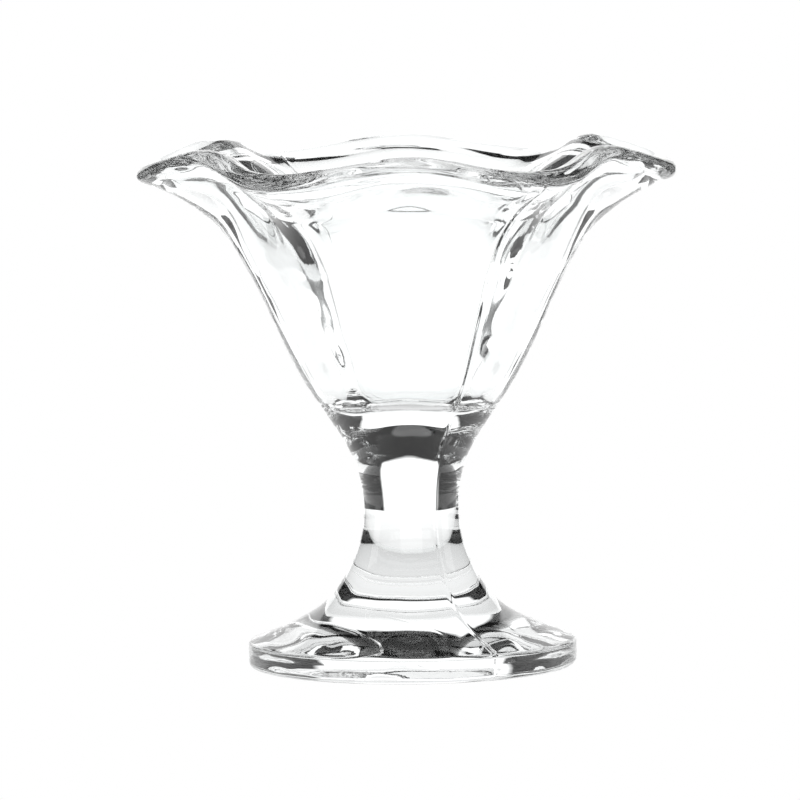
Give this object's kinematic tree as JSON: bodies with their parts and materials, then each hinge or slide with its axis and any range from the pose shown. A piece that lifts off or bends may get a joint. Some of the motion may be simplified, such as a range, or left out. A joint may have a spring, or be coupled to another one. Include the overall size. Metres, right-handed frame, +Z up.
{
  "type": "parfait glass",
  "caption": "Clear footed parfait glass with a waisted stem, a panelled bowl and a flared, wavy rim for ice cream, sundaes and desserts.",
  "frame": {"origin": "on the table, under the middle of the foot", "axes": "+Z up along the glass's axis, X through two opposite corners of the bowl, -Y out of the middle of a panel"},
  "size_m": [0.1206, 0.1092, 0.1165],
  "materials": {
    "clear_glass": "polished clear pressed glass"
  },
  "bodies": {
    "root": {"foot": "clear_glass", "stem": "clear_glass", "bowl": "clear_glass", "rim": "clear_glass"}
  },
  "joints": []
}
